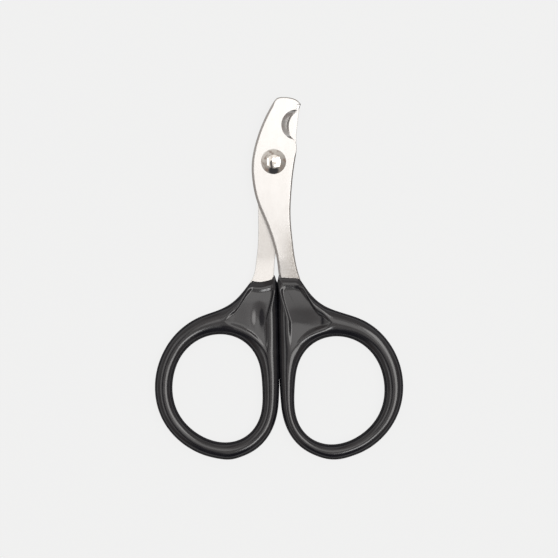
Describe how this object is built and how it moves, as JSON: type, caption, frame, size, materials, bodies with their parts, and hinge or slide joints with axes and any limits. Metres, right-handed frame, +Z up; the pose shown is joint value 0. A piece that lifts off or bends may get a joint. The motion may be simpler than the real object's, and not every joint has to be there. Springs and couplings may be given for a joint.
{
  "type": "pet nail scissors",
  "caption": "Small pet claw scissors: stamped steel halves with hooked, notched blades cross on a domed rivet; finger loops dipped in black plastic.",
  "frame": {"origin": "on the pivot axis, on the plane that the scissors rest on", "axes": "+Z up along the pivot axis, out of the table; +Y from the pivot towards the blade tips; +X towards the side that the blades hook to"},
  "size_m": [0.0617, 0.0899, 0.005],
  "materials": {
    "blade_steel": "fine ground stainless steel with a satin sheen and rounded edges",
    "rivet_steel": "polished",
    "washer_steel": "plain satin",
    "dipped_plastic": "glossy black dipped soft plastic"
  },
  "bodies": {
    "rear_half": {"rear_blade": "blade_steel", "left_grip": "dipped_plastic", "pivot_rivet": "rivet_steel", "rivet_washer": "washer_steel"},
    "front_half": {"front_blade": "blade_steel", "right_grip": "dipped_plastic"}
  },
  "joints": [
    {"name": "pivot", "type": "hinge", "parent": "rear_half", "child": "front_half", "pos_m": [0, 0, 0.0021], "axis": [0, 0, 1], "range_deg": [0, 60]}
  ]
}
